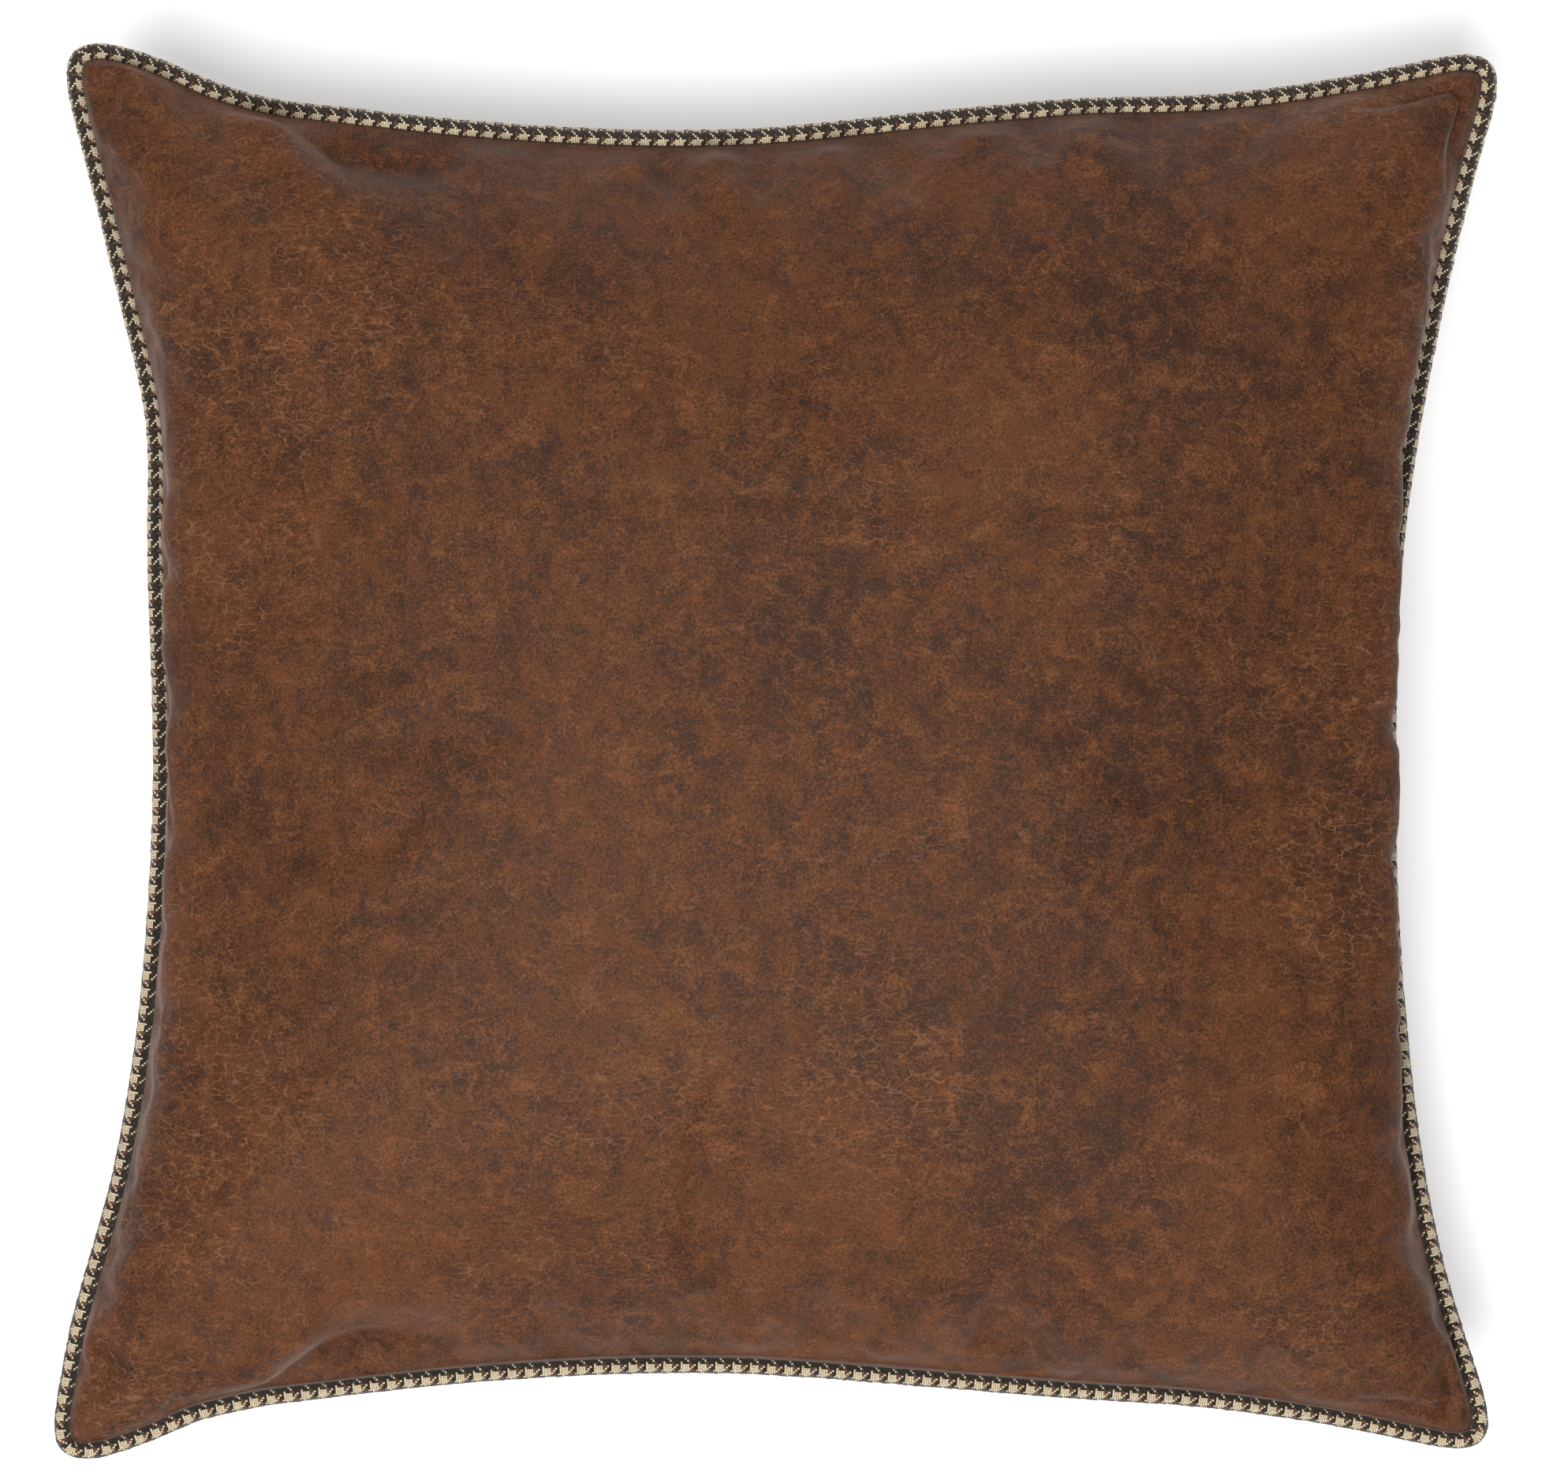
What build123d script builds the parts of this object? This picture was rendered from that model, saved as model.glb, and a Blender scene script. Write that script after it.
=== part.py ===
from build123d import *
import math
import os

# A square throw pillow that lies on its back: a zipped cover of two panels with a piped edge, around a stuffed
# insert. The origin is on the surface it rests on, under the middle. +Z is up, out of the front panel, and +Y
# points to its top edge. Lengths are in millimetres.

# The piping's centre line: four slack sides, each an arc from corner to corner through its waist. The corners are
# given where the arcs meet, before they are rounded.
top_left = (-249.0, 250.0)
top_right = (255.0, 246.0)
bottom_right = (252.0, -246.0)
bottom_left = (-255.0, -250.0)
top_waist = (0.0, 214.4)
right_waist = (214.0, 5.0)
bottom_waist = (0.0, -214.4)
left_waist = (-214.6, 5.0)
piping_corner_radius = 12.0

# Depths of the stuffed cover on each side of the seam
back_depth = 78.0
front_depth = 82.0
seam_height = back_depth

# Cloth and cord
piping_radius = 3.2
piping_cloth = 0.8
piping_cord_gap = 0.05
panel_cloth = 1.2
insert_cloth = 0.5
seam_allowance = 10.0
cord_radius = piping_radius - piping_cloth - piping_cord_gap
lip_half = piping_cloth
thread_radius = 0.2
thread_gap = 0.15
cover_stitch_inset = 5.2

# The stuffed shape, as level outlines from the seam to the crown. Each row holds the share of the depth, how far the
# waists and the corners have moved in from the piping's centre line, and the corner radius there.
front_rows = [
    (0.00, 3.4, 5.2, 8.8),
    (0.15, 3.8, 8.0, 44.0),
    (0.25, 4.8, 9.0, 60.0),
    (0.45, 13.0, 40.0, 62.0),
    (0.62, 27.0, 70.0, 66.0),
    (0.80, 52.0, 106.0, 80.0),
    (0.93, 90.0, 143.0, 88.0),
    (1.00, 135.0, 178.0, 60.0),
]
back_rows = [
    (0.00, 3.4, 5.2, 8.8),
    (0.15, 3.8, 8.0, 44.0),
    (0.25, 4.8, 9.0, 60.0),
    (0.45, 12.0, 38.0, 62.0),
    (0.62, 24.0, 66.0, 66.0),
    (0.80, 46.0, 98.0, 80.0),
    (0.93, 76.0, 130.0, 92.0),
    (1.00, 110.0, 160.0, 80.0),
]
# How much further in the insert lies, row by row: it clears the seam allowances and the zipper near the seam
insert_pulls = [
    (12.3, 17.0),
    (7.2, 9.0),
    (4.9, 6.5),
    (3.3, 4.4),
    (3.0, 4.0),
    (3.0, 4.0),
    (3.0, 4.0),
    (3.0, 4.0),
]
insert_gap = 1.5
fill_gap = 0.5

# The nylon coil zipper in the bottom seam, just below the piping. Insets are measured from the piping's centre line
# towards the filling.
chain_length = 320.0
slot_past_closed_end = 8.0
slot_past_open_end = 18.0
slot_depth = 12.3
chain_drop = 7.5
tape_inset = 8.4
tape_cloth = 0.6
tape_gap = 0.7
tape_end_drop = 16.5
coil_thickness = 1.9
coil_half_width = 2.1
slider_length = 10.0
slider_nose_width = 7.5
slider_tail_width = 6.2
slider_plate = 1.1
slider_clearance = 0.3
flange_width = 0.9
post_length = 2.5
post_half_width = 0.4
bridge_half_length = 4.0
bridge_height = 3.0
bridge_width = 1.6
bridge_bar = 1.0
tab_axis_rise = 1.0
tab_length = 22.0
tab_width = 5.0
tab_thickness = 1.2
tab_window_length = 5.0
tab_window_width = 2.4
tab_hole_radius = 1.4
top_stop_length = 2.5
bottom_stop_length = 5.0
stop_gap = 1.0

# Blank labels, which hang down from the seam on the left side of the cover and the right side of the insert
care_label_middle = -95.0
care_label_width = 30.0
care_label_drop = 46.0
insert_label_middle = 80.0
insert_label_width = 40.0
insert_label_drop = 34.0
label_cloth = 0.3
label_gap = 0.5
label_top_drop = 3.0
side_reach = 300.0

# Hand stitches that close the insert after stuffing
closing_length = 120.0
closing_pitch = 6.0
closing_stitch = (0.8, 0.5, 2.4)
closing_gap = 0.7

corners = [top_left, top_right, bottom_right, bottom_left]
waists = [top_waist, right_waist, bottom_waist, left_waist]
inward = [(0, -1), (-1, 0), (0, 1), (1, 0)]


def pulled_corner(corner, pull):
    """A corner moved towards the middle by the same amount along X and Y."""
    x, y = corner
    return (x - math.copysign(pull, x), y - math.copysign(pull, y))


def pulled_waist(side, pull):
    """The waist of one side moved straight in."""
    x, y = waists[side]
    step_x, step_y = inward[side]
    return (x + step_x * pull, y + step_y * pull)


def outline(height, side_pull, corner_pull, corner_radius):
    """A level four-sided face with rounded corners."""
    ends = [pulled_corner(corner, corner_pull) for corner in corners]
    with BuildSketch(Plane.XY.offset(height)) as level:
        with BuildLine():
            for side in range(4):
                ThreePointArc(ends[side], pulled_waist(side, side_pull), ends[(side + 1) % 4])
        make_face()
        fillet(level.vertices(), corner_radius)
    return level.sketch


def seam_face(height, inset):
    """The face inside the piping's centre line, drawn in by an inset."""
    with BuildSketch(Plane.XY.offset(height)) as level:
        add(outline(height, 0, 0, piping_corner_radius))
        if inset > 0:
            offset(amount=-inset, mode=Mode.REPLACE)
    return level.sketch


def dome(start, direction, depth, rows, pulls):
    """A stuffed half: level outlines from the seam to the crown, lofted. direction is 1 up or -1 down."""
    levels = []
    for row, pull in zip(rows, pulls):
        share, side_pull, corner_pull, radius = row
        level = outline(
            start + direction * share * depth,
            side_pull + pull[0],
            corner_pull + pull[1],
            radius,
        )
        levels.append(level.face())
    with BuildPart() as half:
        loft(sections=levels, ruled=True)
    return half.part


corner_share = 1.3


def drawn_in(pull, pulls):
    """Every row's pulls made larger, at the corners a little more than at the sides."""
    return [(side + pull, corner + corner_share * pull) for side, corner in pulls]


no_pulls = [(0, 0)] * len(front_rows)


def panel(start, direction, depth, rows):
    """One cover panel: a stuffed half made hollow, with its seam allowance left as a frame inside."""
    with BuildPart() as shell:
        add(dome(start, direction, depth, rows, no_pulls))
        add(
            dome(
                start + direction * panel_cloth,
                direction,
                depth - 2 * panel_cloth,
                rows,
                drawn_in(panel_cloth, no_pulls),
            ),
            mode=Mode.SUBTRACT,
        )
        add(seam_face(start, piping_radius + seam_allowance))
        extrude(amount=direction * panel_cloth, mode=Mode.SUBTRACT)
    return shell.part


def ring(height, outer_inset, inner_inset, thickness):
    """A flat frame that follows the seam, with its lower face at a height."""
    with BuildPart() as frame:
        add(seam_face(height, outer_inset))
        extrude(amount=thickness)
        add(seam_face(height, inner_inset))
        extrude(amount=thickness, mode=Mode.SUBTRACT)
    return frame.part


def loop_tube(height, inset, radius):
    """A round cord that follows the seam at an inset, closed on itself."""
    path = seam_face(height, inset).face().outer_wire()
    with BuildPart() as tube:
        with BuildSketch(Plane(origin=path @ 0, z_dir=path % 0)):
            Circle(radius)
        sweep(path=path, transition=Transition.RIGHT)
    return tube.part


# The zipper turns about the centre of the bottom side's arc, so that its slider keeps to the chain.
bottom_arc = ThreePointArc(bottom_right, bottom_waist, bottom_left)
zip_centre = bottom_arc.arc_center
zip_radius = bottom_arc.radius
zip_axis = Axis((zip_centre.X, zip_centre.Y, 0), (0, 0, 1))
chain_height = seam_height - chain_drop
coil_inset = tape_inset - coil_thickness / 2
slider_outer_inset = coil_inset - coil_thickness / 2 - slider_clearance - slider_plate
slider_inner_inset = tape_inset + tape_cloth + slider_clearance
slider_start = chain_length / 2 - top_stop_length - stop_gap - slider_length / 2


def zip_angle(distance):
    """Degrees about the zipper's axis at a distance to the right of the chain's middle."""
    middle = math.degrees(math.atan2(bottom_waist[1] - zip_centre.Y, bottom_waist[0] - zip_centre.X))
    return middle - math.degrees(distance / zip_radius)


def zip_plane(distance):
    """The upright plane across the chain there. X points into the pillow from the axis, and Y points up."""
    angle = math.radians(zip_angle(distance))
    return Plane(
        origin=(zip_centre.X, zip_centre.Y, 0),
        x_dir=(math.cos(angle), math.sin(angle), 0),
        z_dir=(math.sin(angle), -math.cos(angle), 0),
    )


def zip_strip(start, length, inset, thickness, bottom, top):
    """A strip bent along the zipper: it starts at a distance right of the middle and runs left."""
    with BuildPart() as strip:
        with BuildSketch(zip_plane(start)):
            with Locations((zip_radius + inset + thickness / 2, (bottom + top) / 2)):
                Rectangle(thickness, top - bottom)
        revolve(axis=zip_axis, revolution_arc=math.degrees(length / zip_radius))
    return strip.part


def face_plane(distance, inset):
    """The plane that faces out of the bottom edge at a point of the chain. Its X runs left, its Y down."""
    angle = math.radians(zip_angle(distance))
    reach = zip_radius + inset
    return Plane(
        origin=(zip_centre.X + reach * math.cos(angle), zip_centre.Y + reach * math.sin(angle), chain_height),
        x_dir=(-math.sin(angle), math.cos(angle), 0),
        z_dir=(-math.cos(angle), -math.sin(angle), 0),
    )


def skin_patch(start, depth, pulls, side, middle, width, drop):
    """A thin patch that follows the back half's side wall, on the left (-1) or right (1) of the pillow."""
    with BuildPart() as patch:
        add(dome(start, -1, depth, back_rows, pulls))
        add(dome(start, -1, depth, back_rows, drawn_in(label_cloth, pulls)), mode=Mode.SUBTRACT)
        with BuildSketch(Plane.XY.offset(start - drop)):
            with Locations((side * side_reach / 2, middle)):
                Rectangle(side_reach, width)
        extrude(amount=drop - label_top_drop, mode=Mode.INTERSECT)
    return patch.part


# ---- the cover ----

front_start = seam_height + lip_half
back_start = seam_height - lip_half
front_shell_depth = front_depth - lip_half
back_shell_depth = back_depth - lip_half

with BuildPart() as front_panel:
    add(panel(front_start, 1, front_shell_depth, front_rows))

with BuildPart() as back_panel:
    add(panel(back_start, -1, back_shell_depth, back_rows))
    add(
        zip_strip(
            chain_length / 2 + slot_past_closed_end,
            chain_length + slot_past_closed_end + slot_past_open_end,
            -piping_radius,
            2 * piping_radius + seam_allowance + slider_clearance,
            seam_height - slot_depth,
            seam_height,
        ),
        mode=Mode.SUBTRACT,
    )

with BuildPart() as piping_cover:
    add(loop_tube(seam_height, 0, piping_radius))
    add(
        ring(
            seam_height - lip_half,
            piping_radius - piping_cloth / 2,
            piping_radius + seam_allowance,
            2 * lip_half,
        )
    )
    add(loop_tube(seam_height, 0, cord_radius + piping_cord_gap), mode=Mode.SUBTRACT)

with BuildPart() as piping_cord:
    add(loop_tube(seam_height, 0, cord_radius))

thread_offset = lip_half + panel_cloth + thread_radius
with BuildPart() as cover_seam_stitching:
    add(loop_tube(seam_height + thread_offset, cover_stitch_inset, thread_radius))
    add(loop_tube(seam_height - thread_offset, cover_stitch_inset, thread_radius))

# ---- the zipper ----

with BuildPart() as zipper_tape_front:
    add(
        zip_strip(
            chain_length / 2,
            chain_length,
            tape_inset,
            tape_cloth,
            chain_height + tape_gap,
            seam_height - lip_half,
        )
    )
    add(
        zip_strip(
            chain_length / 2,
            chain_length,
            tape_inset,
            piping_radius + seam_allowance - tape_inset,
            seam_height - lip_half - panel_cloth,
            seam_height - lip_half,
        )
    )

with BuildPart() as zipper_tape_back:
    add(
        zip_strip(
            chain_length / 2,
            chain_length,
            tape_inset,
            tape_cloth,
            seam_height - tape_end_drop,
            chain_height - tape_gap,
        )
    )

coil_start = chain_length / 2 - top_stop_length
coil_length = chain_length - top_stop_length - bottom_stop_length
coil_outer_inset = tape_inset - coil_thickness

with BuildPart() as zipper_coil_front:
    add(
        zip_strip(
            coil_start,
            coil_length,
            coil_outer_inset,
            coil_thickness,
            chain_height + tape_gap,
            chain_height + coil_half_width,
        )
    )

with BuildPart() as zipper_coil_back:
    add(
        zip_strip(
            coil_start,
            coil_length,
            coil_outer_inset,
            coil_thickness,
            chain_height - coil_half_width,
            chain_height - tape_gap,
        )
    )

with BuildPart() as zipper_top_stops:
    for low, high in ((tape_gap, coil_half_width), (-coil_half_width, -tape_gap)):
        add(
            zip_strip(
                chain_length / 2,
                top_stop_length,
                coil_outer_inset,
                coil_thickness,
                chain_height + low,
                chain_height + high,
            )
        )

with BuildPart() as zipper_bottom_stop:
    add(
        zip_strip(
            bottom_stop_length - chain_length / 2,
            bottom_stop_length,
            coil_outer_inset,
            coil_thickness,
            chain_height - coil_half_width,
            chain_height + coil_half_width,
        )
    )

with BuildPart() as zipper_stitching:
    add(
        zip_strip(
            chain_length / 2,
            chain_length,
            tape_inset + tape_cloth,
            2 * thread_radius,
            chain_height - coil_half_width * 3,
            chain_height - coil_half_width * 3 + 2 * thread_radius,
        )
    )
    add(
        zip_strip(
            chain_length / 2,
            chain_length,
            tape_inset + tape_cloth,
            2 * thread_radius,
            seam_height - lip_half - panel_cloth - 2 * thread_radius,
            seam_height - lip_half - panel_cloth,
        )
    )

# The slider stands in a plane that faces out of the pillow, with its nose to the right, at the closed end.
slider_top_plane = face_plane(slider_start, slider_outer_inset)
slider_nose = -slider_length / 2
slider_reach = slider_inner_inset + slider_plate - slider_outer_inset


def slider_shape(plane):
    """The outline of one slider plate: wide at the nose, narrower at the tail, with round corners."""
    with BuildSketch(plane) as shape:
        with BuildLine():
            Polyline(
                (slider_nose, -slider_nose_width / 2),
                (0, -slider_nose_width / 2),
                (-slider_nose, -slider_tail_width / 2),
                (-slider_nose, slider_tail_width / 2),
                (0, slider_nose_width / 2),
                (slider_nose, slider_nose_width / 2),
                close=True,
            )
        make_face()
        fillet(shape.vertices(), 1.0)
    return shape.sketch


with BuildPart() as zipper_slider:
    extrude(slider_shape(slider_top_plane), amount=-slider_plate)
    extrude(slider_shape(slider_top_plane.offset(slider_plate - slider_reach)), amount=-slider_plate)
    # Two flanges fold round the coils
    flange_middle = coil_half_width + slider_clearance + flange_width / 2
    flange_drop = tape_inset - slider_clearance - slider_outer_inset
    with BuildSketch(slider_top_plane):
        with Locations((0, flange_middle), (0, -flange_middle)):
            Rectangle(slider_length - 2 * flange_width, flange_width)
    extrude(amount=-flange_drop)
    # The post in the nose joins the plates, between the coils
    with BuildSketch(slider_top_plane):
        with Locations((slider_nose + post_length / 2 + post_half_width, 0)):
            SlotOverall(post_length, 2 * post_half_width)
    extrude(amount=-slider_reach)
    # The bridge holds the pull tab's bar
    with BuildSketch(Plane(slider_top_plane.origin, slider_top_plane.x_dir, -slider_top_plane.y_dir)):
        with Locations((0, bridge_height / 2)):
            RectangleRounded(2 * bridge_half_length, bridge_height, bridge_bar * 0.9)
        with Locations((0, (bridge_height - bridge_bar) / 2)):
            Rectangle(2 * (bridge_half_length - bridge_bar), bridge_height - bridge_bar, mode=Mode.SUBTRACT)
    extrude(amount=bridge_width / 2, both=True)

# The pull tab's bar lies under the bridge, and the bridge's leg stands in the tab's window.
tab_plane = face_plane(slider_start, slider_outer_inset - tab_axis_rise)
with BuildPart() as zipper_pull_tab:
    with BuildSketch(tab_plane):
        with Locations((tab_length / 2, 0)):
            Rectangle(tab_length, tab_width)
        with Locations((tab_window_length / 2, 0)):
            Rectangle(tab_window_length, tab_window_width, mode=Mode.SUBTRACT)
        with Locations((tab_length - tab_width / 2, 0)):
            Circle(tab_hole_radius, mode=Mode.SUBTRACT)
    extrude(amount=tab_thickness / 2, both=True)
    with BuildSketch(Plane(tab_plane.origin, tab_plane.x_dir, tab_plane.y_dir)):
        Circle(tab_thickness / 2)
    extrude(amount=tab_width / 2, both=True)

# ---- the insert ----

insert_depth_front = front_depth - panel_cloth - insert_gap
insert_depth_back = back_depth - panel_cloth - insert_gap
insert_inner_pulls = drawn_in(insert_cloth, insert_pulls)
fill_pulls = drawn_in(insert_cloth + 2 * (thread_radius + thread_gap) + fill_gap, insert_pulls)

with BuildPart() as insert_front:
    add(dome(seam_height, 1, insert_depth_front, front_rows, insert_pulls))
    add(
        dome(seam_height, 1, insert_depth_front - insert_cloth, front_rows, insert_inner_pulls),
        mode=Mode.SUBTRACT,
    )

with BuildPart() as insert_back:
    add(dome(seam_height, -1, insert_depth_back, back_rows, insert_pulls))
    add(
        dome(seam_height, -1, insert_depth_back - insert_cloth, back_rows, insert_inner_pulls),
        mode=Mode.SUBTRACT,
    )

with BuildPart() as fill:
    add(dome(seam_height, 1, insert_depth_front - insert_cloth - fill_gap, front_rows, fill_pulls))
    add(dome(seam_height, -1, insert_depth_back - insert_cloth - fill_gap, back_rows, fill_pulls))

thread_pulls = drawn_in(insert_cloth + thread_radius + thread_gap, insert_pulls)
seam_share, seam_side_pull, seam_corner_pull, seam_corner_radius = front_rows[0]
insert_outline = outline(
    seam_height,
    seam_side_pull + thread_pulls[0][0],
    seam_corner_pull + thread_pulls[0][1],
    seam_corner_radius,
)
with BuildPart() as insert_seam_stitching:
    insert_path = insert_outline.face().outer_wire()
    with BuildSketch(Plane(origin=insert_path @ 0, z_dir=insert_path % 0)):
        Circle(thread_radius)
    sweep(path=insert_path, transition=Transition.RIGHT)

with BuildPart() as insert_closing_stitches:
    closing_count = int(closing_length / closing_pitch)
    closing_inset = seam_side_pull + insert_pulls[0][0] - closing_stitch[1] - closing_gap
    for number in range(closing_count):
        distance = (number - closing_count / 2) * closing_pitch
        add(
            zip_strip(
                distance,
                closing_stitch[0],
                closing_inset,
                closing_stitch[1],
                seam_height - closing_stitch[2] / 2,
                seam_height + closing_stitch[2] / 2,
            )
        )

# ---- labels ----

with BuildPart() as care_label:
    add(
        skin_patch(
            back_start,
            back_shell_depth,
            drawn_in(panel_cloth + label_gap, no_pulls),
            -1,
            care_label_middle,
            care_label_width,
            care_label_drop,
        )
    )

with BuildPart() as insert_label:
    add(
        skin_patch(
            seam_height,
            insert_depth_back,
            drawn_in(-label_gap - label_cloth, insert_pulls),
            1,
            insert_label_middle,
            insert_label_width,
            insert_label_drop,
        )
    )

pieces = {
    "front_panel": front_panel,
    "back_panel": back_panel,
    "piping_cover": piping_cover,
    "piping_cord": piping_cord,
    "cover_seam_stitching": cover_seam_stitching,
    "zipper_tape_front": zipper_tape_front,
    "zipper_tape_back": zipper_tape_back,
    "zipper_coil_front": zipper_coil_front,
    "zipper_coil_back": zipper_coil_back,
    "zipper_slider": zipper_slider,
    "zipper_pull_tab": zipper_pull_tab,
    "zipper_top_stops": zipper_top_stops,
    "zipper_bottom_stop": zipper_bottom_stop,
    "zipper_stitching": zipper_stitching,
    "care_label": care_label,
    "insert_front": insert_front,
    "insert_back": insert_back,
    "insert_seam_stitching": insert_seam_stitching,
    "insert_closing_stitches": insert_closing_stitches,
    "insert_label": insert_label,
    "fill": fill,
}

os.makedirs("parts", exist_ok=True)
for name, piece in pieces.items():
    piece.part.label = name
    export_step(piece.part, f"parts/{name}.step")
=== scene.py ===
import bpy
import math
import numpy as np
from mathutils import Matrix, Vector


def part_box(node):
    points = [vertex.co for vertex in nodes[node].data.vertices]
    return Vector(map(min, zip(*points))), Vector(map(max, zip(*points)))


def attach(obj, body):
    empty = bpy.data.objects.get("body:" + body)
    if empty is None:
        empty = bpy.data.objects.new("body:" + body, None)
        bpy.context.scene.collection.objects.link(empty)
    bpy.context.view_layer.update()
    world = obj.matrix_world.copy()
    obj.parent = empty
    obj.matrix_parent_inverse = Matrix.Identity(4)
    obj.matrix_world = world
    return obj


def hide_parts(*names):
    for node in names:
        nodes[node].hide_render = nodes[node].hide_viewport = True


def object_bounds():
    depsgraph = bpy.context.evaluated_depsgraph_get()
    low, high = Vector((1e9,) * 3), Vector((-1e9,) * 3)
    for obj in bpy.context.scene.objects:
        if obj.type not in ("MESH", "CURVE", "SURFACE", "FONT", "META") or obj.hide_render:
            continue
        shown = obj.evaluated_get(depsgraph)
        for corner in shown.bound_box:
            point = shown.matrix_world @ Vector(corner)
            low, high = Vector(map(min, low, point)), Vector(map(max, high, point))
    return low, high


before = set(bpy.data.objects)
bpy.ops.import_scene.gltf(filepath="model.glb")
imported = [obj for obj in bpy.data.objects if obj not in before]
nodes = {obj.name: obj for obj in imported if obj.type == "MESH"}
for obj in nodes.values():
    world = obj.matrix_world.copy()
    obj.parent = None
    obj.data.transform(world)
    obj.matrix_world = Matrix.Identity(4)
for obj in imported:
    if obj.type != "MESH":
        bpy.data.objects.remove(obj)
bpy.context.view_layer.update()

MM = 0.001

# ---- the seam: its height and thickness come from the frame, its outline from the corners and waists ----

seam_low, seam_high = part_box("piping_cover")
seam_height = (seam_low.z + seam_high.z) / 2
piping_radius = (seam_high.z - seam_low.z) / 2
pillow_low, pillow_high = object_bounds()

# Corners of the piping's centre line before they are rounded, and the waist of each side, in millimetres
corner_top_left = (-249.0, 250.0)
corner_top_right = (255.0, 246.0)
corner_bottom_right = (252.0, -246.0)
corner_bottom_left = (-255.0, -250.0)
waists = {"top": (0.0, 214.4), "bottom": (0.0, -214.4), "left": (-214.6, 5.0), "right": (214.0, 5.0)}
seam_corner_radius = 12.0

# How far the cloth pulls each side out of its arc, in millimetres at shares of the side's length
slack = {
    "top": (
        (0.0, 0.0), (0.06, -0.8), (0.1, -4.8), (0.14, -6.6), (0.2, -5.0), (0.3, -3.0),
        (0.46, 0.4), (0.62, 6.6), (0.7, 7.0), (0.8, 2.4), (1.0, 0.0),
    ),
    "bottom": (
        (0.0, 0.0), (0.06, -0.8), (0.1, -4.8), (0.14, -5.6), (0.2, -4.2), (0.3, -2.4),
        (0.46, 0.4), (0.62, 4.6), (0.7, 4.8), (0.8, 2.0), (1.0, 0.0),
    ),
    "left": ((0.0, 0.0), (0.1, 3.6), (0.2, 1.0), (0.45, 1.0), (0.64, 1.2), (0.73, -2.6), (0.82, 0.4), (1.0, 2.4)),
    "right": ((0.0, 0.0), (0.15, -2.8), (0.33, -1.0), (0.5, 0.4), (0.64, -0.6), (0.8, 0.4), (1.0, 0.0)),
}


def circle_through(a, b, c):
    """Centre and radius of the circle through three points."""
    (ax, ay), (bx, by), (cx, cy) = a, b, c
    d = 2 * (ax * (by - cy) + bx * (cy - ay) + cx * (ay - by))
    a2, b2, c2 = ax * ax + ay * ay, bx * bx + by * by, cx * cx + cy * cy
    x = (a2 * (by - cy) + b2 * (cy - ay) + c2 * (ay - by)) / d
    y = (a2 * (cx - bx) + b2 * (ax - cx) + c2 * (bx - ax)) / d
    return x, y, math.hypot(ax - x, ay - y)


def smooth_curve(knots, shares):
    """A smooth line through a few (share, value) knots, by cubic Hermite spans."""
    xs = np.array([k[0] for k in knots])
    ys = np.array([k[1] for k in knots])
    slopes = np.gradient(ys, xs)
    slopes[0] = slopes[-1] = 0.0
    span = np.clip(np.searchsorted(xs, shares, side="right") - 1, 0, len(xs) - 2)
    width = xs[span + 1] - xs[span]
    t = (shares - xs[span]) / width
    h00, h10 = 2 * t**3 - 3 * t**2 + 1, t**3 - 2 * t**2 + t
    h01, h11 = -2 * t**3 + 3 * t**2, t**3 - t**2
    return h00 * ys[span] + h10 * width * slopes[span] + h01 * ys[span + 1] + h11 * width * slopes[span + 1]


def side_line(start, end, name, shares):
    """Points along one side of the seam: its arc, moved out or in by the slack."""
    x, y, radius = circle_through(start, waists[name], end)
    first = math.atan2(start[1] - y, start[0] - x)
    turn = math.atan2(end[1] - y, end[0] - x) - first
    turn = (turn + math.pi) % (2 * math.pi) - math.pi
    angles = first + turn * shares
    reach = radius - smooth_curve(slack[name], shares)
    return np.stack([x + reach * np.cos(angles), y + reach * np.sin(angles)], axis=-1) * MM


def seam_sides(count):
    """The four sides of the seam, each with count points: bottom and top run right, left and right run up."""
    shares = np.linspace(0, 1, count)
    return {
        "bottom": side_line(corner_bottom_left, corner_bottom_right, "bottom", shares),
        "top": side_line(corner_top_left, corner_top_right, "top", shares),
        "left": side_line(corner_bottom_left, corner_top_left, "left", shares),
        "right": side_line(corner_bottom_right, corner_top_right, "right", shares),
    }


def seam_loop(step, inset=0.0):
    """The closed seam line with rounded corners, as evenly spaced points, anticlockwise from the top left."""
    sides = seam_sides(400)
    loop = np.concatenate(
        [sides["bottom"][:-1], sides["right"][:-1], sides["top"][::-1][:-1], sides["left"][::-1][:-1]]
    )
    loop = round_corners(loop, seam_corner_radius * MM)
    if inset:
        loop = loop + inset * inward_normals(loop)
    return even_spacing(loop, step)


def inward_normals(loop):
    """Unit vectors that point into an anticlockwise closed loop."""
    along = np.roll(loop, -1, axis=0) - np.roll(loop, 1, axis=0)
    along /= np.linalg.norm(along, axis=1, keepdims=True)
    return np.stack([-along[:, 1], along[:, 0]], axis=-1)


def round_corners(loop, radius):
    """Rounds a closed loop's four sharp corners by averaging along it, more near the corners."""
    even = even_spacing(loop, 1.0 * MM)
    corners = np.array([corner_bottom_left, corner_bottom_right, corner_top_right, corner_top_left]) * MM
    near = np.min(np.linalg.norm(even[:, None] - corners[None], axis=2), axis=1)
    rounded = even.copy()
    for _ in range(int(1.25 * (radius / MM) ** 2)):
        average = (np.roll(rounded, 1, axis=0) + np.roll(rounded, -1, axis=0)) / 2
        pull = np.clip(1.4 - near / (3.2 * radius), 0, 1)[:, None]
        rounded += pull * (average - rounded)
    return rounded


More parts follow.
